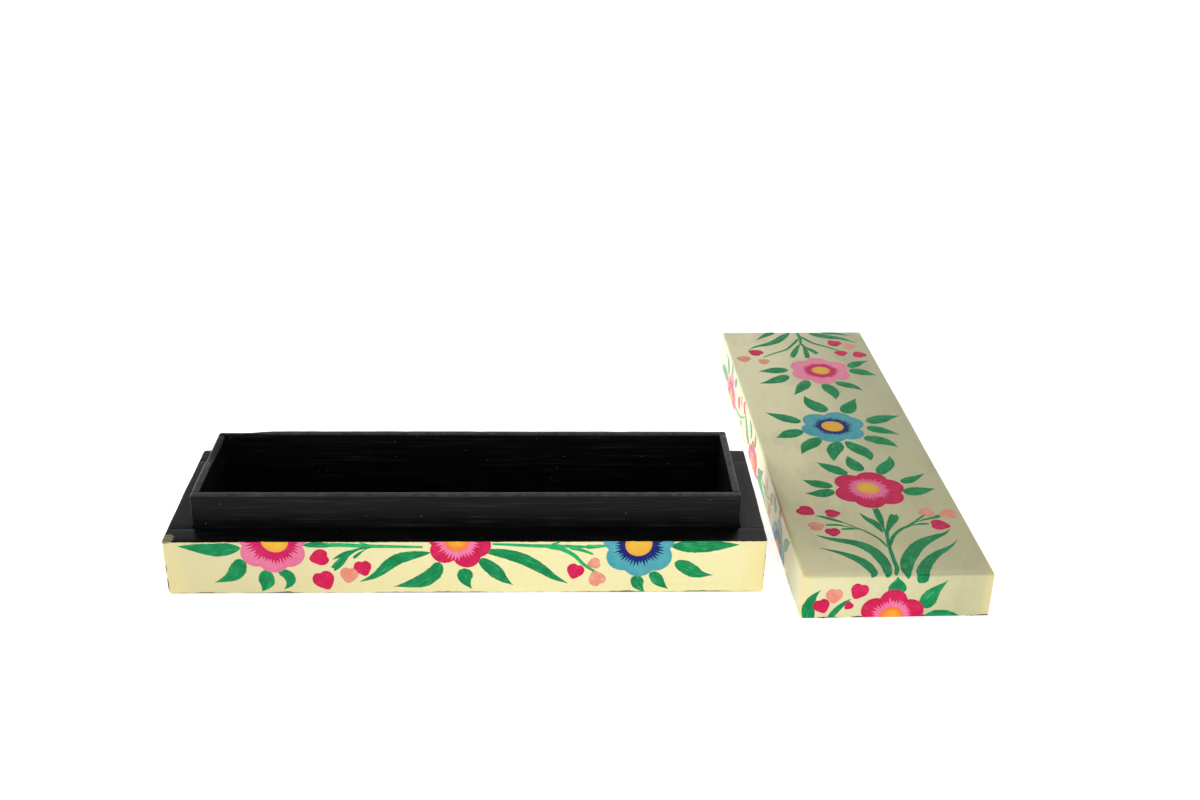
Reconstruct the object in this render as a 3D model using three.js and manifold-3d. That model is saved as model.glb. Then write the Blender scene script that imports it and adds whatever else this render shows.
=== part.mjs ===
// A wooden pencil box: a tray of thin boards round a liner, whose top stands proud as a lip,
// and a loose cap lid that fits over the lip. The lid lies right side up beside the tray.
// Millimetres, +Z up, +X along the tray. The origin is the centre of the tray's underside.

import * as THREE from 'three';
import { mergeVertices } from 'three/addons/utils/BufferGeometryUtils.js';
import Module from 'manifold-3d';

const wasm = await Module();
wasm.setup();

// Outline and boards
const boxLength = 220;
const boxWidth = 70;
const boardThickness = 9;
const rimHeight = 22.6; // the tray's underside to the ledge that the lid sits on
const bottomThickness = 3.2;
const lidPanelThickness = 3.2;
const glueLine = 0.2; // between two glued pieces

// The liner, and how the lid fits over it
const linerThickness = 3;
const lipHeight = 14; // the liner above the ledge
const lipClearance = 0.4; // from the lip to the inside of the lid's rails, on each side
const lidHeadroom = 0.9; // from the lip's top to the underside of the lid's panel

// Edges
const arrisRadius = 1.2; // the upright corners
const footRadius = 1; // round the tray's underside
const lidEdgeRadius = 1.1; // round the top of the lid
const rimEasing = 0.4; // the outer edges that meet when the box is closed
const lipRounding = 0.9; // the lip's top edges
const lipCornerEasing = 0.5; // the lip's upright corners
const arcSegments = 6;

// Where the lid lies
const lidStandoff = 10.9; // the tray's right end to the lid's nearest corner
const lidLead = 16.9; // how far that corner is in front of the tray's front
const lidSkew = 1.15; // degrees that the lid is turned from square to the tray

// What follows from those sizes
const innerLength = boxLength - 2 * boardThickness;
const innerWidth = boxWidth - 2 * boardThickness;
const boardFoot = bottomThickness + glueLine;
const lipTop = rimHeight + lipHeight;
const lidRailHeight = lipHeight + lidHeadroom;
const lidHeight = lidRailHeight + lidPanelThickness;

const creamPaint = new THREE.MeshStandardMaterial({
  color: '#f0e8be', roughness: 0.5, metalness: 0, flatShading: true,
});
const lidPaint = new THREE.MeshStandardMaterial({
  color: '#e4dec0', roughness: 0.5, metalness: 0, flatShading: true,
});
const blackPaint = new THREE.MeshStandardMaterial({
  color: '#121412', roughness: 0.28, metalness: 0, flatShading: true,
});

// A rectangle from low to high with its corners rounded by radii, which go anticlockwise from low.
function roundedRectangle([x0, y0], [x1, y1], [lowLow, highLow, highHigh, lowHigh]) {
  const corners = [
    [x0 + lowLow, y0 + lowLow, lowLow, 2],
    [x1 - highLow, y0 + highLow, highLow, 3],
    [x1 - highHigh, y1 - highHigh, highHigh, 0],
    [x0 + lowHigh, y1 - lowHigh, lowHigh, 1],
  ];
  const points = [];
  for (const [x, y, radius, quarter] of corners) {
    const steps = radius > 0 ? arcSegments : 0;
    for (let step = 0; step <= steps; step += 1) {
      const angle = (quarter + step / Math.max(steps, 1)) * (Math.PI / 2);
      points.push(new THREE.Vector2(x + radius * Math.cos(angle), y + radius * Math.sin(angle)));
    }
  }
  return new THREE.Shape(points);
}

// The directions that a drawn view's own x, y and depth have in the box.
const viewAxes = {
  plan: [[1, 0, 0], [0, 1, 0], [0, 0, 1]],
  front: [[1, 0, 0], [0, 0, 1], [0, -1, 0]],
  end: [[0, 1, 0], [0, 0, 1], [1, 0, 0]],
};

// One drawn view of a piece, extruded from one depth to another, as a solid.
function extrudedView(view, shape, from, to) {
  const geometry = new THREE.ExtrudeGeometry(shape, { depth: to - from, bevelEnabled: false });
  geometry.translate(0, 0, from);
  const directions = viewAxes[view].map((axis) => new THREE.Vector3(...axis));
  geometry.applyMatrix4(new THREE.Matrix4().makeBasis(...directions));
  geometry.deleteAttribute('normal');
  geometry.deleteAttribute('uv');
  const welded = mergeVertices(geometry);
  return new wasm.Manifold(new wasm.Mesh({
    numProp: 3,
    vertProperties: new Float32Array(welded.attributes.position.array),
    triVerts: new Uint32Array(welded.index.array),
  }));
}

const square = [0, 0, 0, 0];

// A board from low to high: what its plan, front and end views have in common. Each view gives
// the radii of its corners.
function board(low, high, { plan = square, front = square, end = square }) {
  const [x0, y0, z0] = low;
  const [x1, y1, z1] = high;
  const fromAbove = extrudedView('plan', roundedRectangle([x0, y0], [x1, y1], plan), z0, z1);
  const fromFront = extrudedView('front', roundedRectangle([x0, z0], [x1, z1], front), -y1, -y0);
  const fromEnd = extrudedView('end', roundedRectangle([y0, z0], [y1, z1], end), x0, x1);
  return fromAbove.intersect(fromFront).intersect(fromEnd);
}

function mesh(name, solid, material) {
  const { vertProperties, triVerts } = solid.getMesh();
  const geometry = new THREE.BufferGeometry();
  geometry.setAttribute('position', new THREE.BufferAttribute(vertProperties, 3));
  geometry.setIndex(new THREE.BufferAttribute(triVerts, 1));
  geometry.computeVertexNormals();
  const result = new THREE.Mesh(geometry, material);
  result.name = name;
  return result;
}

// Four boards on edge round the box: the front and back run the full length and the two ends
// stand between them. The corners at easedEdge, top or bottom, are eased on the outside.
function frameOfBoards(foot, top, easedEdge) {
  const arris = Math.min(arrisRadius, boardThickness);
  const halfLength = boxLength / 2;
  const halfWidth = boxWidth / 2;
  const endReach = innerWidth / 2 - glueLine;
  const atLow = (radius) => (easedEdge === 'bottom' ? radius : 0);
  const atHigh = (radius) => (easedEdge === 'top' ? radius : 0);
  const bothEnds = [atLow(rimEasing), atLow(rimEasing), atHigh(rimEasing), atHigh(rimEasing)];
  const lowSide = [atLow(rimEasing), 0, 0, atHigh(rimEasing)];
  const highSide = [0, atLow(rimEasing), atHigh(rimEasing), 0];
  return {
    front: board(
      [-halfLength, -halfWidth, foot],
      [halfLength, -halfWidth + boardThickness, top],
      { plan: [arris, arris, 0, 0], front: bothEnds, end: lowSide },
    ),
    back: board(
      [-halfLength, halfWidth - boardThickness, foot],
      [halfLength, halfWidth, top],
      { plan: [0, 0, arris, arris], front: bothEnds, end: highSide },
    ),
    left: board(
      [-halfLength, -endReach, foot],
      [-halfLength + boardThickness, endReach, top],
      { front: lowSide },
    ),
    right: board(
      [halfLength - boardThickness, -endReach, foot],
      [halfLength, endReach, top],
      { front: highSide },
    ),
  };
}

// A panel over the whole outline. roundedEdge, top or bottom, has the given radius all round.
function fullPanel(foot, top, radius, roundedEdge) {
  const arris = Math.min(arrisRadius, boardThickness);
  const fillet = Math.min(radius, top - foot);
  const edges = roundedEdge === 'top' ? [0, 0, fillet, fillet] : [fillet, fillet, 0, 0];
  return board(
    [-boxLength / 2, -boxWidth / 2, foot],
    [boxLength / 2, boxWidth / 2, top],
    { plan: [arris, arris, arris, arris], front: edges, end: edges },
  );
}

// The liner: two long strips with two short ones between them. Below the ledge a strip is glued
// to the boards. Above it, its outside is planed back so that the lid slides over it.
function linerStrips() {
  const gluedX = innerLength / 2 - glueLine;
  const gluedY = innerWidth / 2 - glueLine;
  const lipX = innerLength / 2 - lipClearance;
  const lipY = innerWidth / 2 - lipClearance;
  const insideX = gluedX - linerThickness;
  const insideY = gluedY - linerThickness;
  const shortReach = insideY - glueLine;
  const lipWall = Math.min(lipX - insideX, lipY - insideY);
  const rounding = Math.min(lipRounding, lipWall / 2);
  const easing = Math.min(lipCornerEasing, lipWall);
  const topRounded = [0, 0, rounding, rounding];
  const strips = {};
  for (const [name, side] of [['front', -1], ['back', 1]]) {
    const [gluedLow, gluedHigh] = [side * insideY, side * gluedY].sort((a, b) => a - b);
    const [lipLow, lipHigh] = [side * insideY, side * lipY].sort((a, b) => a - b);
    const corners = side < 0 ? [easing, easing, 0, 0] : [0, 0, easing, easing];
    const glued = board([-gluedX, gluedLow, boardFoot], [gluedX, gluedHigh, rimHeight], {});
    const lip = board(
      [-lipX, lipLow, boardFoot],
      [lipX, lipHigh, lipTop],
      { plan: corners, front: topRounded, end: topRounded },
    );
    strips[name] = glued.add(lip);
  }
  for (const [name, side] of [['left', -1], ['right', 1]]) {
    const [gluedLow, gluedHigh] = [side * insideX, side * gluedX].sort((a, b) => a - b);
    const [lipLow, lipHigh] = [side * insideX, side * lipX].sort((a, b) => a - b);
    const glued = board(
      [gluedLow, -shortReach, boardFoot],
      [gluedHigh, shortReach, rimHeight],
      {},
    );
    const lip = board(
      [lipLow, -shortReach, boardFoot],
      [lipHigh, shortReach, lipTop],
      { front: topRounded },
    );
    strips[name] = glued.add(lip);
  }
  return strips;
}

const tray = new THREE.Group();
tray.add(mesh('tray_bottom_panel', fullPanel(0, bottomThickness, footRadius, 'bottom'), creamPaint));
for (const [side, solid] of Object.entries(frameOfBoards(boardFoot, rimHeight, 'top'))) {
  tray.add(mesh(`tray_${side}_board`, solid, creamPaint));
}
for (const [side, solid] of Object.entries(linerStrips())) {
  tray.add(mesh(`liner_${side}_strip`, solid, blackPaint));
}

const lid = new THREE.Group();
lid.add(mesh('lid_top_panel', fullPanel(lidRailHeight, lidHeight, lidEdgeRadius, 'top'), lidPaint));
for (const [side, solid] of Object.entries(frameOfBoards(0, lidRailHeight - glueLine, 'bottom'))) {
  lid.add(mesh(`lid_${side}_rail`, solid, lidPaint));
}

// The lid is turned a quarter clockwise and its skew back: its right end is the near one, and
// its front faces the tray. Its nearest corner is where the front and the right end meet.
lid.rotation.z = THREE.MathUtils.degToRad(lidSkew - 90);
const nearCorner = new THREE.Vector3(boxLength / 2, -boxWidth / 2, 0).applyEuler(lid.rotation);
lid.position.set(boxLength / 2 + lidStandoff, -boxWidth / 2 - lidLead, 0).sub(nearCorner);

const pencilBox = new THREE.Group();
pencilBox.name = 'pencil_box';
pencilBox.add(tray, lid);

export default pencilBox;
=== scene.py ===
# Wooden pencil box: boards painted cream outside and black inside, with flowers, leaves and
# buds laid on as thin raised patches of paint. Lengths are in millimetres until a mesh is made.

import math
import random

import bmesh
import bpy
from mathutils import Matrix, Vector, noise


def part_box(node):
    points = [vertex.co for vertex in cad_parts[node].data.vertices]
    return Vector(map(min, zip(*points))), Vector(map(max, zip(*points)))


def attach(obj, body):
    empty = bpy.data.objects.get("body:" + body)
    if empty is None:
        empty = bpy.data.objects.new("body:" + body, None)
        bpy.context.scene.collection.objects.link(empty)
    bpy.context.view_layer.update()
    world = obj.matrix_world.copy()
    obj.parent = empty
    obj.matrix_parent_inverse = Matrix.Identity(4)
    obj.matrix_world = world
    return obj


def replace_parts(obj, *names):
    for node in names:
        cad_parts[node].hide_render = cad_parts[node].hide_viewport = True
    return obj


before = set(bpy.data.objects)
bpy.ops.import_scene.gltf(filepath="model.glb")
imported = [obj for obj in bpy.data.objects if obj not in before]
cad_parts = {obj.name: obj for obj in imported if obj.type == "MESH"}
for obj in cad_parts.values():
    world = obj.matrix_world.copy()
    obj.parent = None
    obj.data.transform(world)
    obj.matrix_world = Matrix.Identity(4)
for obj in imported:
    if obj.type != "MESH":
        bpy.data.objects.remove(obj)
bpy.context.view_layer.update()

MM = 0.001


def box_mm(node):
    """A node's lowest and highest corners in millimetres."""
    low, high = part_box(node)
    return low / MM, high / MM


# Sizes read from the frame
panel_high = box_mm("tray_bottom_panel")[1]
board_low, board_high = box_mm("tray_front_board")
strip_low, strip_high = box_mm("liner_front_strip")
lid_low, lid_high = box_mm("lid_top_panel")
HALF_LENGTH = panel_high.x
HALF_WIDTH = panel_high.y
BOTTOM = panel_high.z
RIM = board_high.z
BOARD = board_high.y - board_low.y
LIP_TOP = strip_high.z
LINER = strip_high.y - strip_low.y
LID_CAVITY = lid_low.z
LID_TOP = lid_high.z
CLOSED_TOP = RIM + LID_TOP
INNER_LENGTH = HALF_LENGTH - BOARD
INNER_WIDTH = HALF_WIDTH - BOARD
GLUE_LINE = INNER_LENGTH - strip_high.x

# Edges, as on the solids, with the joints between boards eased too
ARRIS = 1.2
FOOT_RADIUS = 1.0
LID_EDGE = 1.1
RIM_EASING = 0.4
SEAM_EASING = 0.22
LIP_CLEARANCE = 0.4
LIP_ROUNDING = 0.9
LIP_CORNER = 0.5

# Where the lid lies: a quarter turn and its skew back
LID_SKEW = 1.15
LID_TURN = math.radians(LID_SKEW - 90)
lid_centre = (lid_low + lid_high) / 2
LID_PLACE = Matrix.Translation((lid_centre.x * MM, lid_centre.y * MM, 0)) @ Matrix.Rotation(LID_TURN, 4, "Z")

# The camera, fitted to the corners of the tray and the lid
CAMERA_PLACE = (29.4, -463.0, 290.4)
CAMERA_YAW = math.radians(-2.41)
CAMERA_PITCH = math.radians(26.16)
CAMERA_ROLL = math.radians(1.17)
CAMERA_LENS = 41.32
CAMERA_SENSOR = 36
CAMERA_NEAR = 0.01

# The light, in metres: what the sky gives at the horizon and overhead, and each lamp's place,
# width and power
SKY_EDGE = 1.55
SKY_TOP = 0.08
SKY_FALL = 2.0
LAMP_TARGET = (0.05, 0.02, 0.02)
LAMPS = {
    "front_lamp": ((0.25, -0.9, 0.22), 0.9, 2.7),
    "left_lamp": ((-2.0, 0.6, 0.7), 1.4, 24),
    "back_lamp": ((0.45, 0.7, 0.95), 0.6, 3.4),
}

# The floor, in metres, and its glow: for the light on the object, and for the camera
FLOOR_REACH = 6.0
FLOOR_GLOW = 0.4
FLOOR_SHINE = 0.75

# The facing boards of each ring, and on which side of the middle they are
LONG_PAIR = (("front", -1), ("back", 1))
SHORT_PAIR = (("left", -1), ("right", 1))

# Mesh spacing
ARC_STEPS = 5
GRID = 4.0
SHARP_ANGLE = math.radians(32)

# Hand work, the same in each run: its long and short waves, how far each takes a point, and the
# height from which it moves points up and down in full
WOBBLE_SEED = 7
LONG_WAVE = 45
LONG_SWAY = 0.1
SHORT_WAVE = 8
SHORT_SWAY = 0.035
LEVEL_FOOT = 3
noise.seed_set(WOBBLE_SEED)

# Wear of the lip: a dip at the left end of the back strip, and an uneven top as pairs of depth
# and wave. It fades towards the ledge with a power of the height.
DIP_DEPTH = 0.85
DIP_END = -84
DIP_SOFTNESS = 1.6
LIP_WEAR = ((0.22, 9), (0.12, 3))
WEAR_FADE = 4

# Paint on a face: how deep a mark sinks in, how far it stays from the seam, how far it may run
# over an edge or over the lid's ends, and how uneven it is along a cut
EMBED = 0.05
RIM_CUT = 0.14
OVERRUN = 1
END_OVERRUN = 3
CUT_TOLERANCE = 0.0001
CUT_WAVE = 2.2
CUT_SWAY = 0.16

# Heights of the marks, as one or as the heights at their edge and middle. Each mark of a list is
# lifted a little over the one before, until the lifts start again.
LEAF_RISE = 0.05
BUD_RISE = (0.04, 0.07)
PETAL_RISE = (0.06, 0.08)
FRINGE_RISE = (0.1, 0.11)
CENTRE_RISE = (0.13, 0.17)
LIFT_STEP = 0.0004
LIFTS = 25

# A stroke of the brush: its mesh, its least width, how ragged its sides and a dab's end are, and
# how its height falls at its sides and ends
STROKE_STEP = 0.7
STROKE_ROWS = 10
STROKE_CELLS = (-1, -0.86, -0.45, 0, 0.45, 0.86, 1)
SIDE_CELL = 0.8
LEAST_HALF = 0.05
RAGGED_SIDE = 0.045
RAGGED_END = 0.55
END_LENGTH = 0.6
EDGE_DROP = 0.5
EDGE_POWER = 6

# A mark that is filled from its middle: its rings, and how its height falls at its edge
RINGS = (0.3, 0.6, 0.82, 0.94, 1.0)
FRINGE_RINGS = (0.5, 0.75, 0.9, 1.0)
ROUND_POWER = 8
PATTERN_REACH = 200

# A flower, in shares of its radius: each petal's own radius and middle, the heart that its petals
# grow from, and how much each varies. Then the fringe round its eye, and the eye.
PETAL_SIZE = 0.43
PETAL_MIDDLE = 0.57
PETAL_HEART = 0.7
SIZE_VARIES = 0.012
MIDDLE_VARIES = 0.015
EDGE_VARIES = 0.004
PETAL_POINTS = 144
SPIKE_SPACING = 1.5
SPIKE_DEPTH = 0.31
EYE_ROUGHNESS = 0.03
ROUND_POINTS = 56


def srgb(red, green, blue):
    """A colour written as 0 to 255 values, as the shader wants it."""
    def linear(value):
        share = value / 255
        return share / 12.92 if share <= 0.04045 else ((share + 0.055) / 1.055) ** 2.4
    return (linear(red), linear(green), linear(blue), 1.0)


# Boards


def wobble(point):
    """How far hand work leaves a point from its true place."""
    shift = noise.noise_vector(point / LONG_WAVE) * LONG_SWAY
    shift += noise.noise_vector(point / SHORT_WAVE) * SHORT_SWAY
    shift.z *= min(1.0, max(0.0, point.z / LEVEL_FOOT))
    return shift


def fillet(before, corner, after, radius):
    """Points round one right-angled corner."""
    if radius <= 0:
        return [corner]
    back = (before - corner).normalized()
    ahead = (after - corner).normalized()
    centre = corner + (back + ahead) * radius
    points = []
    for step in range(ARC_STEPS + 1):
        angle = math.pi / 2 * step / ARC_STEPS
        points.append(centre - ahead * radius * math.cos(angle) - back * radius * math.sin(angle))
    return points


def outline(corners, counts=None):
    """Points round a section with filleted corners, and how many lie along each of its sides."""
    total = len(corners)
    places = [Vector(corner[:2]) for corner in corners]
    arcs = []
    for index, corner in enumerate(corners):
        arcs.append(fillet(places[index - 1], places[index], places[(index + 1) % total], corner[2]))
    starts = [arc[-1] for arc in arcs]
    ends = [arcs[(index + 1) % total][0] for index in range(total)]
    if counts is None:
        counts = [int((end - start).length / GRID) for start, end in zip(starts, ends)]
    points = []
    for arc, start, end, count in zip(arcs, starts, ends, counts):
        points += arc
        points += [start.lerp(end, (step + 1) / (count + 1)) for step in range(count)]
    return points, counts


def end_inset(radius, distance):
    """How far a side has receded at a distance from the end of a board."""
    size = abs(radius)
    if distance >= size:
        return 0.0
    return math.copysign(size - math.sqrt(size * size - (size - distance) ** 2), radius)


def stations(reach, radius):
    """Places along a board: close together in the rounding of its ends, then evenly spaced."""
    near = [radius * (1 - math.cos(math.pi / 2 * step / ARC_STEPS)) for step in range(ARC_STEPS + 1)]
    straight = 2 * (reach - radius)
    spans = max(1, int(straight / GRID))
    places = [-reach + distance for distance in near]
    places += [-reach + radius + straight * (step + 1) / spans for step in range(spans - 1)]
    places += [reach - distance for distance in reversed(near)]
    return places


def beam(axis, side, reach, corners, wear=None):
    """A board along one axis. Each corner of its section is (outward, up, radius, and how much
    the outward and up places recede at the ends)."""
    bm = bmesh.new()
    end_radius = max(max(abs(corner[3]), abs(corner[4])) for corner in corners)
    _, counts = outline(corners)
    loops = []
    for along in stations(reach, end_radius):
        distance = reach - abs(along)
        moved = []
        for outward, up, radius, out_end, up_end in corners:
            moved.append((outward + end_inset(out_end, distance), up + end_inset(up_end, distance), radius))
        loop = []
        for point in outline(moved, counts)[0]:
            place = Vector((along, side * point.x, point.y))
            if axis == "y":
                place = Vector((side * point.x, along, point.y))
            if wear:
                place += wear(place)
            loop.append(bm.verts.new(place + wobble(place)))
        loops.append(loop)
    for first, second in zip(loops, loops[1:]):
        for index in range(len(first)):
            after = (index + 1) % len(first)
            bm.faces.new((first[index], first[after], second[after], second[index]))
    bm.faces.new(loops[0])
    bm.faces.new(list(reversed(loops[-1])))
    bmesh.ops.recalc_face_normals(bm, faces=bm.faces)
    return bm


def make_object(name, bm, materials, body):
    """One piece of the box from its mesh in millimetres."""
    mesh = bpy.data.meshes.new(name)
    bm.to_mesh(mesh)
    bm.free()
    mesh.transform(Matrix.Scale(MM, 4))
    mesh.shade_smooth()
    mesh.set_sharp_from_angle(angle=SHARP_ANGLE)
    for material in materials:
        mesh.materials.append(material)
    piece = bpy.data.objects.new(name, mesh)
    bpy.context.scene.collection.objects.link(piece)
    if body == "lid":
        piece.matrix_world = LID_PLACE
    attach(piece, body)
    return piece


def lip_wear(point):
    """The lip's top is worn unevenly, and lower at the left end of the back strip."""
    height = max(0.0, (point.z - RIM) / (LIP_TOP - RIM))
    dip = DIP_DEPTH / (1 + math.exp((point.x - DIP_END) / DIP_SOFTNESS)) if point.y > 0 else 0.0
    uneven = sum(depth * abs(noise.noise(point / wave)) for depth, wave in LIP_WEAR)
    return Vector((0, 0, -(dip + uneven) * height ** WEAR_FADE))


def make_boards(materials):
    """Each board, strip, rail and panel, in place of its solid."""
    def board(node, axis, side, reach, corners, paint, wear=None):
        body = "lid" if node.startswith("lid") else "tray"
        mesh = beam(axis, side, reach, corners, wear)
        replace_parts(make_object(node + "_finished", mesh, [materials[paint]], body), node)

    def panel(node, foot, top, low_round, high_round, paint):
        board(node, "x", 1, HALF_LENGTH, [
            (-HALF_WIDTH, foot, low_round, ARRIS, low_round),
            (HALF_WIDTH, foot, low_round, -ARRIS, low_round),
            (HALF_WIDTH, top, high_round, -ARRIS, -high_round),
            (-HALF_WIDTH, top, high_round, ARRIS, -high_round),
        ], paint)

    def ring(node, foot, top, low_round, high_round, long_paint, end_paint):
        """Two long boards at full length and two end boards between them."""
        seam = SEAM_EASING if high_round else 0
        for name, side in LONG_PAIR:
            board(node.format(name), "x", side, HALF_LENGTH, [
                (INNER_WIDTH, foot, 0, 0, 0),
                (HALF_WIDTH, foot, low_round, -ARRIS, low_round),
                (HALF_WIDTH, top, high_round, -ARRIS, -high_round),
                (INNER_WIDTH, top, seam, 0, -high_round),
            ], long_paint)
        for name, side in SHORT_PAIR:
            board(node.format(name), "y", side, INNER_WIDTH, [
                (INNER_LENGTH, foot, 0, 0, 0),
                (HALF_LENGTH, foot, low_round, 0, 0),
                (HALF_LENGTH, top, high_round, 0, -seam),
                (INNER_LENGTH, top, seam, 0, -seam),
            ], end_paint)

    def strip(name, axis, side, reach, inner, corner_end, top_end, paint):
        """A strip of the liner: glued to its board up to the ledge, and set back above it."""
        glued = inner - GLUE_LINE
        inside = glued - LINER
        lip = inner - LIP_CLEARANCE
        board(f"liner_{name}_strip", axis, side, reach, [
            (inside, BOTTOM, 0, 0, 0),
            (glued, BOTTOM, 0, -corner_end, 0),
            (glued, RIM, 0, -corner_end, 0),
            (lip, RIM, 0, -corner_end, 0),
            (lip, LIP_TOP, LIP_ROUNDING, -corner_end, -top_end),
            (inside, LIP_TOP, LIP_ROUNDING, 0, -top_end),
        ], paint, lip_wear)

    panel("tray_bottom_panel", 0, BOTTOM, FOOT_RADIUS, 0, "tray_long")
    ring("tray_{}_board", BOTTOM, RIM, 0, RIM_EASING, "tray_long", "tray_end")
    ring("lid_{}_rail", 0, LID_CAVITY, RIM_EASING, 0, "lid", "lid")
    panel("lid_top_panel", LID_CAVITY, LID_TOP, 0, LID_EDGE, "lid")
    long_reach = INNER_LENGTH - LIP_CLEARANCE
    short_reach = INNER_WIDTH - GLUE_LINE - LINER
    for name, side in LONG_PAIR:
        strip(name, "x", side, long_reach, INNER_WIDTH, LIP_CORNER, LIP_ROUNDING, "liner_long")
    for name, side in SHORT_PAIR:
        strip(name, "y", side, short_reach, INNER_LENGTH, 0, SEAM_EASING, "liner_end")


# Faces that are painted


class Face:
    """A flat face with rounded edges. A point on it is (a, b) in millimetres, and what runs over
    an edge follows its rounding. The face's limits and edge radii are (low, high) in a and b."""

    def __init__(self, origin, along, up, out, a_limits, b_limits, a_radii, b_radii, clip):
        self.origin = Vector(origin)
        self.along = Vector(along)
        self.up = Vector(up)
        self.out = Vector(out)
        self.a = (a_limits, a_radii)
        self.b = (b_limits, b_radii)
        self.clip = clip

    @staticmethod
    def bend(value, limits, radii):
        """Place, depth below the face and tilt of a point that may lie past a rounded edge."""
        for end, sign in ((0, -1), (1, 1)):
            radius = radii[end]
            past = sign * (value - limits[end]) + radius
            if radius > 0 and past > 0:
                tilt = min(past / radius, math.pi / 2)
                place = limits[end] + sign * (radius * math.sin(tilt) - radius)
                depth = radius * (1 - math.cos(tilt)) + max(0.0, past - radius * math.pi / 2)
                return place, depth, sign * tilt
        return value, 0.0, 0.0

    def point(self, a, b, height):
        """The place of a point that stands at a height over the face."""
        place_a, depth_a, tilt_a = self.bend(a, *self.a)
        place_b, depth_b, tilt_b = self.bend(b, *self.b)
        normal = self.out * math.cos(tilt_a) * math.cos(tilt_b)
        normal += self.along * math.sin(tilt_a) + self.up * math.sin(tilt_b)
        flat = self.origin + self.along * place_a + self.up * place_b - self.out * (depth_a + depth_b)
        return flat + wobble(flat) + normal.normalized() * height

    def folds(self):
        """The lines, as (axis, value), where a patch needs points to follow the rounded edges."""
        lines = []
        for axis, (limits, radii) in enumerate((self.a, self.b)):
            for end, sign in ((0, -1), (1, 1)):
                if radii[end] > 0:
                    for step in range(ARC_STEPS + 1):
                        past = radii[end] * math.pi / 2 * step / ARC_STEPS
                        lines.append((axis, limits[end] - sign * (radii[end] - past)))
        return lines


def side_face(kind, part):
    """A side of the tray or of the lid, in the closed box's heights: a runs to the right as
    somebody who looks at that side sees it, and b is the height above the tray's underside."""
    turn = ("front", "right", "back", "left").index(kind)
    quarter = Matrix.Rotation(turn * math.pi / 2, 3, "Z")
    along = quarter @ Vector((1, 0, 0))
    out = quarter @ Vector((0, -1, 0))
    half, depth = (HALF_LENGTH, HALF_WIDTH) if turn % 2 == 0 else (HALF_WIDTH, HALF_LENGTH)
    if part == "tray":
        origin = out * depth
        limits = (0, RIM)
        radii = (FOOT_RADIUS, RIM_EASING)
        clip_b = (-OVERRUN, RIM - RIM_CUT)
    else:
        origin = out * depth - Vector((0, 0, RIM))
        limits = (RIM, CLOSED_TOP)
        radii = (RIM_EASING, LID_EDGE)
        clip_b = (RIM + RIM_CUT, CLOSED_TOP + OVERRUN)
    clip = (-half - OVERRUN, half + OVERRUN, *clip_b)
    return Face(origin, along, (0, 0, 1), out, (-half, half), limits, (ARRIS, ARRIS), radii, clip)


def top_face():
    """The top of the lid, with a along its length and b across it."""
    edge = (LID_EDGE, LID_EDGE)
    clip_a = (-HALF_LENGTH - END_OVERRUN, HALF_LENGTH + END_OVERRUN)
    clip_b = (-HALF_WIDTH - OVERRUN, HALF_WIDTH + OVERRUN)
    return Face(
        (0, 0, LID_TOP), (1, 0, 0), (0, 1, 0), (0, 0, 1),
        (-HALF_LENGTH, HALF_LENGTH), (-HALF_WIDTH, HALF_WIDTH), edge, edge, clip_a + clip_b,
    )


# Brush marks. A patch is a list of points (a, b, height, along, across, edge) and its faces.


def smooth_path(points, steps):
    """A Catmull-Rom curve through the points."""
    places = [Vector(point) for point in points]
    padded = [places[0] * 2 - places[1]] + places + [places[-1] * 2 - places[-2]]
    spans = len(places) - 1
    path = []
    for step in range(steps + 1):
        whole = min(int(step * spans / steps), spans - 1)
        share = step * spans / steps - whole
        before, start, end, after = padded[whole:whole + 4]
        path.append(0.5 * (
            2 * start
            + (end - before) * share
            + (2 * before - 5 * start + 4 * end - after) * share ** 2
            + (3 * start - before - 3 * end + after) * share ** 3
        ))
    return path


def leaf_width(share, widest=0.4, base_fullness=0.9, point_fineness=1.2):
    """A leaf: round at its base, widest at two fifths, and drawn out to a point."""
    if share < widest:
        return math.sqrt(max(0.0, 1 - ((widest - share) / widest) ** 2)) ** base_fullness
    return math.cos(math.pi / 2 * (share - widest) / (1 - widest)) ** point_fineness


def pointed_width(share, early, fineness):
    """A leaf that is pointed at both ends, and widest where share to the power early is a half."""
    return math.sin(math.pi * share ** early) ** fineness


def stem_width(share, growth=6):
    """A stem: half as wide where it starts, soon at its full width, and half as wide at its end."""
    return min(1.0, 0.5 + growth * share) * (1 - 0.5 * share ** 2)


def dab_width(share):
    """A short stroke that starts thin and ends broad, where the brush was pressed and lifted."""
    thin = 0.28
    press_start = 0.15
    press_length = 0.6
    lift_start = 0.85
    lift_loss = 0.25
    pressed = min(1.0, max(0.0, (share - press_start) / press_length))
    lifted_off = max(0.0, (share - lift_start) / 0.15)
    return (thin + (1 - thin) * pressed ** 2 * (3 - 2 * pressed)) * (1 - lift_loss * lifted_off)


# How wide each kind of stroke is along its length. A spear is a leaf that is broad near its
# base, a blade is slim and long in its point, and a twig is a stem in a lighter green.
WIDTHS = {
    "leaf": leaf_width,
    "spear": lambda share: leaf_width(share ** 0.66),
    "almond": lambda share: pointed_width(share, 0.8, 0.85),
    "blade": lambda share: pointed_width(share, 0.66, 1.05),
    "stem": stem_width,
    "twig": stem_width,
    "dab": dab_width,
}


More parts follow.
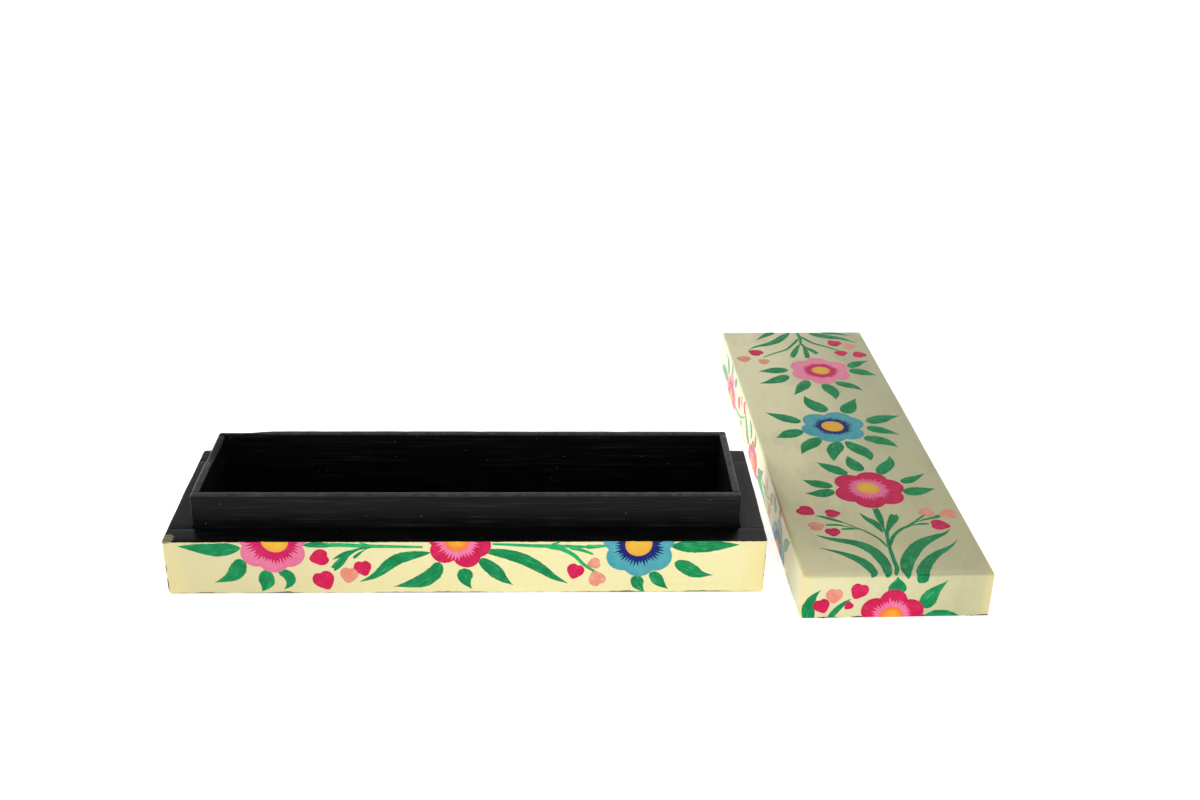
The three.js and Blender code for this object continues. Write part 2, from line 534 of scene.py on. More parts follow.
def stroke_patch(kind, points, width, height, dice):
    """One stroke of the brush along a path."""
    length = sum((Vector(second) - Vector(first)).length for first, second in zip(points, points[1:]))
    steps = max(STROKE_ROWS, int(length / STROKE_STEP))
    path = smooth_path(points, steps)
    ragged = [1 + dice.uniform(-RAGGED_SIDE, RAGGED_SIDE) for _ in range(2 * (steps + 1))]
    offset = dice.uniform(0, PATTERN_REACH)
    patch = []
    travelled = 0.0
    for step, place in enumerate(path):
        behind = path[max(step - 1, 0)]
        ahead = path[min(step + 1, steps)]
        direction = (ahead - behind).normalized()
        normal = Vector((-direction.y, direction.x))
        if step:
            travelled += (place - behind).length
        share = step / steps
        half = max(LEAST_HALF, width / 2 * WIDTHS[kind](share))
        from_end = min(share, 1 - share) * length
        for cell in STROKE_CELLS:
            reach = half * cell * (ragged[2 * step + (cell > 0)] if abs(cell) > SIDE_CELL else 1)
            point = place + normal * reach
            if kind == "dab" and step == steps:
                point += direction * half * dice.uniform(-RAGGED_END, RAGGED_END)
            edge = max(abs(cell), 1 - min(1.0, from_end / END_LENGTH))
            rise = height * (1 - EDGE_DROP * edge ** EDGE_POWER)
            patch.append((point.x, point.y, rise, offset + travelled, reach, edge))
    faces = []
    row = len(STROKE_CELLS)
    for step in range(steps):
        for cell in range(row - 1):
            corner = step * row + cell
            faces.append((corner, corner + row, corner + row + 1, corner + 1))
    return patch, faces


def turns(count):
    """The angles of points that go evenly round a mark."""
    return [2 * math.pi * index / count for index in range(count)]


def round_patch(centre, radii, edge_height, height, dice, rings=RINGS):
    """A mark that is filled from its middle. The radii of its outline go evenly round it."""
    count = len(radii)
    typical = sum(radii) / count
    offset = dice.uniform(0, PATTERN_REACH)
    patch = [(centre[0], centre[1], height, offset, offset, 0.0)]
    for ring in rings:
        rise = height - (height - edge_height) * ring ** ROUND_POWER
        for radius, angle in zip(radii, turns(count)):
            a = centre[0] + radius * ring * math.cos(angle)
            b = centre[1] + radius * ring * math.sin(angle)
            patch.append((a, b, rise, offset + radius * ring, offset + angle * typical, ring))
    faces = []
    for index in range(count):
        after = (index + 1) % count
        faces.append((0, 1 + index, 1 + after))
        for ring in range(len(rings) - 1):
            inner = 1 + ring * count
            outer = inner + count
            faces.append((inner + index, outer + index, outer + after, inner + after))
    return patch, faces


def petal_radii(radius, angles, dice):
    """The outline of round petals that lie at the given angles in degrees."""
    petals = []
    for angle in angles:
        size = radius * (PETAL_SIZE + dice.uniform(-SIZE_VARIES, SIZE_VARIES))
        middle = radius * (PETAL_MIDDLE + dice.uniform(-MIDDLE_VARIES, MIDDLE_VARIES))
        petals.append((math.radians(angle), middle, size))
    radii = []
    for angle in turns(PETAL_POINTS):
        reach = radius * PETAL_HEART
        for petal_angle, middle, size in petals:
            apart = angle - petal_angle
            inside = size ** 2 - (middle * math.sin(apart)) ** 2
            if inside > 0 and math.cos(apart) > 0:
                reach = max(reach, middle * math.cos(apart) + math.sqrt(inside))
        radii.append(reach * (1 + dice.uniform(-EDGE_VARIES, EDGE_VARIES)))
    return radii


def spike_radii(radius, dice):
    """The outline of a band with a fringe of fine strokes of uneven length."""
    radii = []
    for _ in range(int(2 * math.pi * radius / SPIKE_SPACING)):
        radii.append(radius * (1 - dice.uniform(0, 0.6) * SPIKE_DEPTH))
        radii.append(radius * (1 - SPIKE_DEPTH * dice.uniform(0.85, 1.15)))
    return radii


def eye_radii(radius, dice):
    """The nearly round outline of a flower's eye, with two, three and four low bumps."""
    phases = [dice.uniform(0, 6.28) for _ in range(3)]
    radii = []
    for angle in turns(ROUND_POINTS):
        bumps = sum(math.sin(count * angle + phase) / count for count, phase in enumerate(phases, 2))
        uneven = EYE_ROUGHNESS * bumps + dice.uniform(-0.25, 0.25) * EYE_ROUGHNESS
        radii.append(radius * (1 + uneven))
    return radii


def heart_radii(size, direction, dice):
    """A heart-shaped bud whose point lies in the given direction, opposite its notch."""
    roundness = 0.93
    point_length = 0.26
    point_width = 0.5
    notch_depth = 0.17
    notch_width = 0.32
    cheek_fullness = 0.07
    cheek_angle = 2.0
    most_lean = 0.12
    roughness = 0.015
    lean = dice.uniform(-most_lean, most_lean)
    radii = []
    for angle in turns(ROUND_POINTS):
        turn = (angle - direction + math.pi) % (2 * math.pi) - math.pi
        point = math.exp(-(turn / point_width) ** 2) * point_length
        notch = math.exp(-((abs(turn) - math.pi) / notch_width) ** 2) * notch_depth
        cheeks = cheek_fullness * math.cos(2 * (abs(turn) - cheek_angle)) + lean * math.sin(turn)
        reach = size / 2 * (roundness + point - notch + cheeks)
        radii.append(reach * (1 + dice.uniform(-roughness, roughness)))
    return radii


class Painter:
    """Collects the patches of one piece of painting and makes the piece."""

    def __init__(self, face, kinds):
        self.face = face
        self.kinds = list(kinds)
        self.bm = bmesh.new()
        self.marks = self.bm.verts.layers.float_vector.new("stroke")

    def cut(self, flat):
        """Cuts a flat patch off at the face's clip, and makes points on the lines of its folds."""
        a_low, a_high, b_low, b_high = self.face.clip
        lines = [(0, a_low, True, -1), (0, a_high, True, 1), (1, b_low, True, -1), (1, b_high, True, 1)]
        lines += [(axis, value, False, 1) for axis, value in self.face.folds()]
        for axis, value, clear, sign in lines:
            spread = [vertex.co[axis] * sign for vertex in flat.verts]
            crossed = spread and max(spread) > value * sign and (clear or min(spread) < value)
            if crossed:
                direction = Vector((sign, 0, 0)) if axis == 0 else Vector((0, sign, 0))
                bmesh.ops.bisect_plane(
                    flat, geom=flat.verts[:] + flat.edges[:] + flat.faces[:], dist=CUT_TOLERANCE,
                    plane_co=direction * sign * value, plane_no=direction, clear_outer=clear,
                )
        for vertex in flat.verts:
            if min(abs(vertex.co.y - b_low), abs(vertex.co.y - b_high)) < 2 * CUT_TOLERANCE:
                vertex.co.y += CUT_SWAY * noise.noise(Vector((vertex.co.x / CUT_WAVE, b_low, 0)))

    def add(self, colour, patch):
        """Cuts a flat patch to the face, bends it round the edges and closes it underneath."""
        points, faces = patch
        flat = bmesh.new()
        marks = flat.verts.layers.float_vector.new("stroke")
        made = []
        for a, b, height, *pattern in points:
            vertex = flat.verts.new((a, b, height))
            vertex[marks] = pattern
            made.append(vertex)
        for face in faces:
            flat.faces.new([made[index] for index in face])
        self.cut(flat)
        index_of = {vertex: index for index, vertex in enumerate(flat.verts)}
        tops = []
        soles = []
        for vertex in flat.verts:
            a, b, height = vertex.co
            for sheet, level in ((tops, height), (soles, -EMBED)):
                copy = self.bm.verts.new(self.face.point(a, b, level))
                copy[self.marks] = vertex[marks]
                sheet.append(copy)
        slot = self.kinds.index(colour)
        for face in flat.faces:
            corners = [index_of[vertex] for vertex in face.verts]
            self.bm.faces.new([tops[index] for index in corners]).material_index = slot
            self.bm.faces.new([soles[index] for index in reversed(corners)]).material_index = slot
        for edge in flat.edges:
            if len(edge.link_faces) == 1:
                first, second = [index_of[vertex] for vertex in edge.verts]
                quad = (tops[first], tops[second], soles[second], soles[first])
                self.bm.faces.new(quad).material_index = slot
        flat.free()

    def finish(self, name, materials, body, slot):
        """Makes the piece from all the marks."""
        bmesh.ops.recalc_face_normals(self.bm, faces=self.bm.faces)
        make_object(name, self.bm, [materials[kind] for kind in self.kinds], body)


# The paints of each flower's petals, fringe and eye
FLOWERS = {
    "pink": ("petal_pink", "fringe_magenta", "centre_yellow"),
    "crimson": ("petal_crimson", "fringe_pink", "centre_orange"),
    "rose": ("petal_rose", "fringe_magenta", "centre_yellow"),
    "carmine": ("petal_crimson", "fringe_pink", "centre_yellow"),
    "blue": ("petal_blue", "fringe_navy", "centre_yellow"),
}


def paint_motifs(name, face, body, motifs, materials, seed):
    """Paints a list of motifs on one face: the green marks as one piece and the rest as another.
    A stroke is (kind, path, width), a bud is ("bud", colour, centre, size, direction), and a flower
    is (kind, centre, radius, petal angles, centre of its eye, fringe radius, eye radius)."""
    leaves = Painter(face, GREEN_PAINTS)
    blooms = Painter(face, FLOWER_PAINTS)
    for number, (kind, *facts) in enumerate(motifs):
        dice = random.Random(seed * 1000 + number)
        lift = LIFT_STEP * (number % LIFTS)

        def bloom(colour, centre, radii, rise, rings=RINGS):
            blooms.add(colour, round_patch(centre, radii, rise[0] + lift, rise[1] + lift, dice, rings))

        if kind in WIDTHS:
            points, width = facts
            green = "twig_green" if kind == "twig" else "leaf_green"
            leaves.add(green, stroke_patch(kind, points, width, LEAF_RISE + lift, dice))
        elif kind == "bud":
            colour, centre, size, angle = facts
            bloom("bud_" + colour, centre, heart_radii(size, math.radians(angle), dice), BUD_RISE)
        else:
            centre, radius, angles, eye, fringe_radius, eye_radius = facts
            petal, fringe, middle = FLOWERS[kind]
            between = Vector(centre).lerp(Vector(eye), 0.5)
            bloom(petal, centre, petal_radii(radius, angles, dice), PETAL_RISE)
            bloom(fringe, between, spike_radii(fringe_radius, dice), FRINGE_RISE, FRINGE_RINGS)
            bloom(middle, eye, eye_radii(eye_radius, dice), CENTRE_RISE)
    leaves.finish(name + "_leaves", materials, body, "leaf_green_paint")
    blooms.finish(name + "_flowers", materials, body, "flower_paint")


# The painting, in millimetres on each face of the closed box

LONG_SIDE = [
    # green marks of the lower half, left to right
    ("almond", [(-81.8, 19.9), (-86.4, 19.5), (-91.5, 19.1), (-97.5, 19.9), (-104.2, 20.7)], 5.5),
    ("leaf", [(-82.4, 15.3), (-83, 12.2), (-84.7, 9.2), (-87.6, 7), (-92.6, 5)], 6.1),
    ("leaf", [(-73.8, 10.6), (-73.55, 7.5), (-73.65, 5.1), (-74.4, 3.1), (-75.6, 1.2)], 5.9),
    ("leaf", [(-69.1, 9.5), (-66.9, 9.1), (-65.2, 7.8), (-64.9, 5.5), (-65.9, 3.6), (-67.6, 2)], 4.1),
    ("almond", [(-59.6, 21.2), (-55.6, 21.3), (-50.8, 21.2), (-46.2, 21.1)], 2.3),
    ("twig", [(-51.7, 21.3), (-45.2, 21.2), (-38, 20.8), (-31.5, 20.6), (-24.3, 20.4), (-16.2, 20.2)], 1.7),
    ("twig", [(-34.4, 20.8), (-36.6, 21.4), (-38.9, 22.3)], 1.0),
    ("dab", [(-34.6, 20.3), (-39.6, 19.3), (-43.6, 17), (-46.2, 13.8), (-49, 10.9)], 2.9),
    ("almond", [(-40.6, 19), (-45, 17.2), (-49, 15)], 1.7),
    ("dab", [(-36.2, 19.7), (-38.9, 17.8), (-41.3, 15.6)], 1.3),
    ("almond", [(-13.4, 17.8), (-19.4, 16.8), (-24.6, 15.4), (-28.2, 13.1), (-31.2, 10.3), (-34.6, 7.6),
        (-39.6, 5.3)], 4.6),
    ("leaf", [(-10.3, 13.7), (-12.1, 9.3), (-16.1, 6), (-21.2, 4.3), (-27.4, 3.1)], 6.0),
    ("leaf", [(-1.2, 11), (-1.1, 8.4), (-0.8, 5.6), (1.3, 2)], 5.8),
    ("leaf", [(4.3, 15), (7.5, 12.2), (10.8, 8.9), (13.4, 6.1), (16.6, 3.6)], 5.3),
    ("almond", [(5.2, 18.5), (11.4, 17.7), (17.8, 16), (23.2, 13.4), (27.6, 10.3), (32, 6.9),
        (36.8, 4.3)], 4.8),
    ("twig", [(35.5, 20.4), (29.7, 20.5), (23.4, 20.7), (16.3, 21.1), (9.2, 21.4)], 1.6),
    ("twig", [(30.9, 21), (32.4, 21.6), (34.2, 22.5)], 1.0),
    ("twig", [(34.5, 20.5), (40.8, 20.2), (44.6, 20.1)], 1.4),
    ("twig", [(43.4, 20.1), (46.4, 20.2), (51, 20.6)], 1.9),
    ("twig", [(37.4, 19.9), (41.6, 18.8), (46, 17)], 1.6),
    ("twig", [(28.9, 20.3), (34.5, 19.2), (39.3, 16.3), (42.5, 12.7), (47.2, 9)], 1.8),
    ("almond", [(74.6, 20.4), (80.4, 20.4), (86.4, 20.5), (92.4, 20.6), (99.6, 20.9)], 5.8),
    ("leaf", [(76.2, 13.3), (79.5, 11.8), (83, 9.6), (86, 8.2), (90.6, 7.7)], 5.5),
    ("leaf", [(62, 7.9), (62.5, 5.2), (63.2, 3), (65.4, 0.3)], 5.0),
    ("leaf", [(67.3, 9.2), (69.4, 6.7), (71.3, 4.2), (74.1, 1.7)], 4.5),
    # green marks of the upper half
    ("almond", [(-82, 26.2), (-89, 27.6), (-97, 26.8), (-103, 25.2)], 5.4),
    ("leaf", [(-80.5, 30.8), (-84, 35), (-91, 38.2)], 5.4),
    ("leaf", [(-72, 35.4), (-71.4, 37.9), (-73.4, 40)], 4.4),
    ("leaf", [(-62.4, 34.4), (-58.6, 37.2), (-55.6, 39.4)], 4.6),
    ("twig", [(-57, 25.4), (-47, 26.6), (-38, 29.4), (-30, 33.8)], 1.4),
    ("dab", [(-44, 27.4), (-40, 26.2), (-36.6, 26.4)], 2.2),
    ("almond", [(-14.6, 27.6), (-21, 29.6), (-26.4, 33.6), (-32, 37.6)], 5.0),
    ("leaf", [(-9.6, 33), (-12, 36.6), (-17.6, 39.2)], 5.0),
    ("leaf", [(-1.6, 34.2), (-0.4, 37.2), (-2.2, 39.9)], 4.6),
    ("leaf", [(9.4, 27.8), (15.4, 29), (21.6, 34.4)], 5.6),
    ("almond", [(8.6, 24.8), (15.4, 25.8), (22, 25.6), (28.6, 24.4)], 3.6),
    ("twig", [(19, 29), (27, 29.4), (34, 29.2), (39, 31.4)], 1.4),
    ("leaf", [(74.6, 29.6), (76.4, 33), (83.2, 38.2)], 5.4),
    ("leaf", [(61.6, 35.6), (61.4, 38), (63.4, 40)], 4.4),
    ("leaf", [(53.8, 33.6), (50, 36.2), (44.6, 38)], 4.8),
    # buds
    ("bud", "crimson", (-53.4, 15.9), 7.1, 192),
    ("bud", "crimson", (-52.6, 6.4), 8.2, 292),
    ("bud", "salmon", (-43.4, 8.6), 6.8, 262),
    ("bud", "crimson", (-37.9, 11.6), 6.6, 282),
    ("bud", "crimson", (39.7, 9.9), 6.6, 252),
    ("bud", "salmon", (46.7, 12.9), 4.8, 192),
    ("bud", "salmon", (47.9, 6.3), 6.5, 115),
    ("bud", "crimson", (-47.6, 32.2), 6.2, 70),
    ("bud", "salmon", (-41.2, 36), 5.6, 80),
    ("bud", "crimson", (-33, 37.2), 5.8, 60),
    ("bud", "salmon", (31, 32.4), 5.8, 100),
    ("bud", "salmon", (39.4, 26.8), 5.0, 20),
    ("bud", "crimson", (42.6, 33), 5.6, 60),
    # flowers
    ("pink", (-70.4, 22.9), 13.4, (221, 270, 318, 20, 90, 160), (-69.4, 23.2), 10.9, 5.0),
    ("crimson", (-3, 22.7), 11.9, (218, 294, 345, 45, 100, 160), (-3.8, 23.1), 9.0, 4.6),
    ("blue", (62.9, 21.2), 13.9, (221, 270, 319, 20, 90, 160), (62.7, 21.2), 10.3, 4.95),
]

SHORT_SIDE = [
    ("leaf", [(-31.6, 18), (-32, 23), (-32.2, 27.5), (-31, 31.6), (-28.4, 34.9)], 4.8),
    ("almond", [(-24.6, 20), (-24, 22.8), (-22, 26), (-19.5, 28.8), (-17, 30.9)], 2.4),
    ("leaf", [(-0.4, 32.5), (-0.5, 35.8), (-0.8, 40)], 6.8),
    ("leaf", [(11, 26.2), (11.4, 29.6), (13.2, 33.2), (17.8, 38.3)], 6.4),
    ("almond", [(10.4, 22.4), (17.4, 22.8), (24.4, 22.4)], 5.6),
    ("leaf", [(-11.6, 15.4), (-16.4, 11), (-22.8, 8.6)], 5.0),
    ("leaf", [(-4.8, 11.2), (-6.6, 7.4), (-5.2, 2.8)], 5.0),
    ("leaf", [(3.4, 11.4), (6.4, 7.8), (6.8, 3)], 4.8),
    ("leaf", [(9.2, 16), (14.6, 12.6), (20.8, 11.6)], 5.0),
    ("stem", [(23.2, 20.4), (25.6, 18.4), (26.6, 15)], 1.5),
    ("leaf", [(25.8, 15.8), (23.6, 10.4), (26.6, 4.6)], 4.4),
    ("bud", "crimson", (-27.5, 28.2), 6.3, 292),
    ("bud", "salmon", (-23.1, 32.5), 6.3, 268),
    ("bud", "crimson", (-14.5, 34.5), 6.8, 250),
    ("bud", "crimson", (-17.5, 28), 3.5, 225),
    ("bud", "crimson", (-27.6, 10.6), 5.4, 80),
    ("bud", "salmon", (-27.8, 4.8), 4.8, 110),
    ("crimson", (-1.3, 22.7), 12.2, (154, 90, 21, 330, 270, 210), (-1.4, 22.9), 8.8, 4.3),
]

NEAR_SPRAY = [
    ("spear", [(113, 9.2), (110.5, 8.5), (106.9, 9.2), (101.3, 12.6), (96.3, 17), (93.1, 21.3), (90, 24.8),
        (86.1, 27.9)], 4.8),
    ("blade", [(111.2, 3.1), (106.9, 3), (101.3, 4.8), (95, 8.2), (90, 11.9), (86.6, 16), (84.1, 20.1),
        (81.9, 24.1), (79.1, 26.9)], 5.5),
    ("almond", [(110.4, -5.1), (108.8, -4.3), (103.8, -3.8), (98.8, -4.4), (93.8, -6), (90, -8.8),
        (87.5, -12.4), (85.9, -17.1), (84.2, -21.5), (81.9, -25.3)], 4.8),
    ("almond", [(110.4, -10.4), (108.1, -9.3), (103.8, -10.3), (100, -12.2), (96.9, -15.3), (94.4, -18.8),
        (90.9, -25.6)], 4.2),
    ("stem", [(109.7, -1.5), (105, -0.1), (100, 0.1), (92.5, 0.5), (86, 1.2), (80, 1.8)], 1.7),
    ("dab", [(87.3, 1.1), (80, 2.6), (75, 4.9), (70.5, 7.3), (68, 8)], 3.8),
    ("dab", [(80.6, 1.6), (75.6, 1.8), (70.6, 1.9), (63.1, 1.9)], 2.8),
    ("almond", [(81, 0.6), (75.6, -0.3), (72.5, -1.8), (70.3, -3.4), (66.1, -5.1)], 3.2),
    ("stem", [(91, 0), (85, -2.1), (80, -5.6), (76.3, -9.6), (72.5, -13.7)], 1.0),
    ("almond", [(73.8, -12), (70, -18.1), (67.7, -22.9)], 1.9),
    ("dab", [(78.4, -7.8), (76.6, -11.5), (75, -15.3), (74.9, -19.9)], 1.3),
    ("dab", [(78.6, -6.8), (77.8, -10.3), (78.1, -14.6)], 1.4),
    ("stem", [(90, 1.3), (85, 3.2), (81.3, 5.7), (78.1, 8.8), (76.6, 11.3), (74.4, 13.8), (71.6, 16.6),
        (68.4, 19.9)], 1.5),
    ("dab", [(74.6, 13.2), (72.2, 18.2), (70.3, 23.5), (69.1, 25.7)], 1.9),
    ("dab", [(76.5, 11.4), (75.3, 15.4), (74.9, 19.8)], 1.5),
    ("bud", "crimson", (64.3, -26), 7.3, 50),
    ("bud", "crimson", (66.4, -15.9), 6.0, 95),
    ("bud", "crimson", (79.8, -18.6), 6.0, 0),
    ("bud", "salmon", (75.6, -24), 6.3, 110),
    ("bud", "crimson", (76.2, 23.5), 7.4, 78),
    ("bud", "salmon", (66.1, 21.2), 5.9, 282),
    ("bud", "salmon", (68.3, 29.6), 6.5, 268),
]

FAR_SPRAY = [
    ("blade", [(-109.8, -8.9), (-106.2, -13.2), (-99.7, -19.7)], 3.6),
    ("blade", [(-109.1, -1.3), (-104, -5.2), (-98.3, -9.6), (-94.6, -14.7), (-92.1, -20.4),
        (-88.1, -25.5)], 4.2),
    ("blade", [(-107.7, 8.1), (-105.5, 12.8), (-103.3, 17.9), (-101.1, 23.7), (-95.4, 30.2)], 5.0),
    ("blade", [(-108.5, 14), (-107.7, 21.5), (-105, 28.6)], 3.2),
    ("stem", [(-108.4, 2.4), (-101.9, 2.7), (-93.9, 1.6)], 1.8),
    ("dab", [(-95, 1.6), (-92.5, 0.2), (-86.7, -2.4), (-79.1, -5.2)], 2.9),
    ("dab", [(-95, 2), (-88.1, 2.7), (-78, 2)], 2.6),
    ("dab", [(-95, 2.4), (-91, 3.4), (-87.4, 5.6), (-83.1, 7.8)], 2.8),
    ("stem", [(-101, 1.6), (-95.5, -1.6), (-88.1, -6.7), (-83.8, -13.2), (-79.4, -19)], 1.4),
    ("stem", [(-104, 3.4), (-96.1, 7.8), (-91, 14.3), (-86, 19.4)], 1.7),
    ("bud", "crimson", (-81.8, 28.4), 7.0, 200),
    ("bud", "crimson", (-95.7, 19), 7.2, 220),
    ("bud", "crimson", (-83.4, 19.5), 6.3, 240),
    ("bud", "crimson", (-84.5, -22), 7.2, 230),
    ("bud", "salmon", (-91.9, 25.3), 6.3, 210),
    ("bud", "salmon", (-74.7, -19.4), 5.6, 230),
    ("bud", "salmon", (-77.3, -28.8), 6.6, 250),
]

TOP_LEAVES = [
    # round the crimson flower
    ("leaf", [(43.1, 17.2), (41.6, 20), (39.6, 23.4), (35.9, 28.7)], 4.5),
    ("leaf", [(51.3, 16.1), (50, 22), (48.4, 29.6)], 6.4),
    ("leaf", [(36.3, 9.8), (31.3, 12.9), (26.3, 16.6), (20.6, 17.9)], 5.8),
    ("leaf", [(33.4, 3.4), (29.4, 1.6), (25, 0.5), (20, 0.1)], 6.3),
    ("leaf", [(36.3, -3.4), (32.5, -7), (29, -10.6), (25.6, -14.1)], 6.0),
    ("leaf", [(46, -11.3), (44, -15.9), (42.4, -19.2), (40.2, -22.5)], 5.8),
    ("leaf", [(48.8, -11.6), (50.8, -15.5), (51.4, -19), (50.8, -23.4)], 6.0),
    # round the blue flower
    ("leaf", [(-10.4, 15.2), (-12.4, 20), (-14.6, 25), (-16.4, 31.5)], 7.0),
    ("leaf", [(-5.6, 14.1), (-3.4, 18), (-1.4, 22), (1.6, 27)], 6.0),
    ("leaf", [(4.3, 10.5), (6, 15.5), (9, 20), (13.2, 23.6)], 6.8),
    ("almond", [(7.2, 2), (12, 4.5), (16, 7.2), (20, 9), (24.3, 9.1)], 7.0),
    ("almond", [(7.8, -0.6), (12, -2.8), (17, -5), (24.6, -6.6)], 6.8),
    ("leaf", [(4, -8.4), (8.6, -12.4), (12.6, -15.8), (18.4, -18.9)], 6.6),
    ("leaf", [(-2.8, -14.6), (-0.6, -19), (1.6, -23), (3.7, -27)], 7.0),
    ("leaf", [(-10.6, -13.8), (-13.6, -18.4), (-16.6, -22.6), (-20.4, -27.9)], 6.6),
    ("leaf", [(-20.4, -1), (-25, -3.4), (-30, -6), (-37, -7.6)], 8.0),
    ("leaf", [(-18.9, 8), (-23, 9.6), (-27.6, 12), (-34.2, 15.6)], 7.2),
    # round the pink flower
    ("leaf", [(-67, 20), (-70, 22.6), (-72.4, 26), (-75, 30.8)], 5.2),
    ("leaf", [(-64, 19), (-62.6, 23), (-60.6, 27), (-58.2, 31)], 6.6),
    ("leaf", [(-51, 9.8), (-48.4, 14), (-46, 17.6), (-42, 21)], 5.4),
    ("leaf", [(-49.4, 4.2), (-44, 5.8), (-38.6, 6.9), (-32.6, 6.3)], 6.4),
    ("leaf", [(-53.4, -3), (-48.4, -5), (-43.6, -8), (-37.6, -11.8)], 5.8),
    ("leaf", [(-59, -11.2), (-55, -15), (-52.4, -19.4), (-50.2, -25.6)], 6.4),
    ("leaf", [(-65.2, -9.8), (-64.4, -15), (-64, -19), (-63.4, -24.2)], 6.4),
]

TOP_FLOWERS = [
    ("carmine", (48.4, 2.6), 14.6, (102, 50, 351, 293, 228, 159), (47.6, 2.5), 9.5, 4.6),
    ("blue", (-6.3, -0.4), 14.6, (112, 45, 344, 289, 226, 155), (-6.3, -0.7), 9.5, 4.8),
    ("rose", (-63.6, 5.4), 14.5, (117, 58, 357, 296, 236, 179), (-63.7, 5.6), 9.6, 4.3),
]


# Materials

# The tones of each paint as 0 to 255 values, and what lies over it, some with a strength first
BLACK = ((6, 7, 6), (13, 15, 13))
# Lighter streaks over the black: dust in the brush marks and a painted sheen
BLACK_DUST_AND_SHEEN = (48, 50, 46)
# Light specks over the black: dust on bumps of paint, lightened as painted glints
DUST_AND_GLINTS = (0.7, (170, 170, 162))
# Painted highlight along the top of the lip
LIP_HIGHLIGHT = (0.6, (116, 118, 117))
CREAM = {"tray": ((244, 233, 172), (249, 241, 188)), "lid": ((236, 230, 184), (244, 239, 198))}
# Darker tone over the cream: on the tray towards its left end, and on the lid as painted shade towards its
# back edge
DARKENING = {"tray": (0.85, (216, 206, 160)), "lid": (0.85, (186, 185, 150))}
# Painted shade over the lid towards its near end
LID_NEAR_END_SHADE = (0.3, (214, 206, 152))
LID_SMUDGES = (0.3, (168, 168, 132))
CREAM_STREAKS = (0.25, (230, 218, 166))
CROSS_STREAKS = (0.12, (210, 201, 154))
CREAM_SPECKS = (0.14, (198, 182, 128))
STAIN = (248, 226, 150)
WOOD = ((168, 158, 124), (104, 96, 74))
WOOD_PORES = (24, 24, 21)
FLOOR = ((244, 244, 244), (250, 250, 249))

# Each coloured paint: its body, its light tone where thin and its deep tone where it gathers. Then,
# where they differ, how strong its thin spots are, and from where it gathers and how much.
EYE_GATHERED = (0.45, 0.9)
GREEN_PAINTS = {
    "leaf_green": ((14, 152, 88), (84, 200, 138), (6, 116, 66), 0.7),
    "twig_green": ((44, 184, 112), (106, 214, 150), (22, 160, 92), 0.7),
}
FLOWER_PAINTS = {
    "petal_pink": ((234, 130, 162), (244, 172, 194), (226, 106, 146)),
    "petal_rose": ((248, 152, 178), (251, 186, 204), (240, 128, 160)),
    "petal_crimson": ((224, 34, 92), (238, 84, 130), (196, 20, 74)),
    "petal_blue": ((86, 178, 187), (136, 204, 208), (66, 154, 170)),
    "fringe_magenta": ((222, 30, 104), (238, 92, 150), (190, 16, 84)),
    "fringe_pink": ((248, 132, 172), (250, 172, 200), (232, 100, 152)),
    "fringe_navy": ((28, 38, 124), (60, 78, 158), (18, 24, 96)),
    "centre_yellow": ((242, 204, 74), (248, 218, 112), (238, 166, 56), 0.5, EYE_GATHERED),
    "centre_orange": ((246, 196, 62), (248, 212, 96), (244, 120, 44), 0.5, EYE_GATHERED),
    "bud_crimson": ((226, 32, 94), (238, 80, 128), (198, 18, 72)),
    "bud_salmon": ((242, 166, 142), (248, 206, 176), (228, 128, 108), 0.9),
}

# Depth of the relief in millimetres, and the paints' index of refraction, which sets their gloss
BOARD_RELIEF = 0.05
STRIP_RELIEF = 0.06
MARK_RELIEF = 0.03
FLOOR_RELIEF = 0.01
BOARD_GLOSS = 1.25
PAINT_GLOSS = 1.2

# Where the black paint ends: how far past the boards' inner faces, the heights that bound the
# inside of each half, its lines on the ledge, the tray's foot and the lid's foot, and their width
BLACK_LAP = 3
TRAY_INSIDE = 1.4
LID_INSIDE = 16
LEDGE_LINE = 0.34
# The black underside runs up the tray's foot, its band widened as painted contact shade too
FOOT_PAINT_AND_SHADE_LINE = 0.72
LID_LINE = 0.4
LINE_WIDTH = 0.2

# Where the tray's paint has chipped off: the left front corner of its ledge
CHIP_PLACE = (1.2 - HALF_LENGTH, 2.0 - HALF_WIDTH, RIM)
CHIP_SIZE = (2.7, 3.4, 1.1)


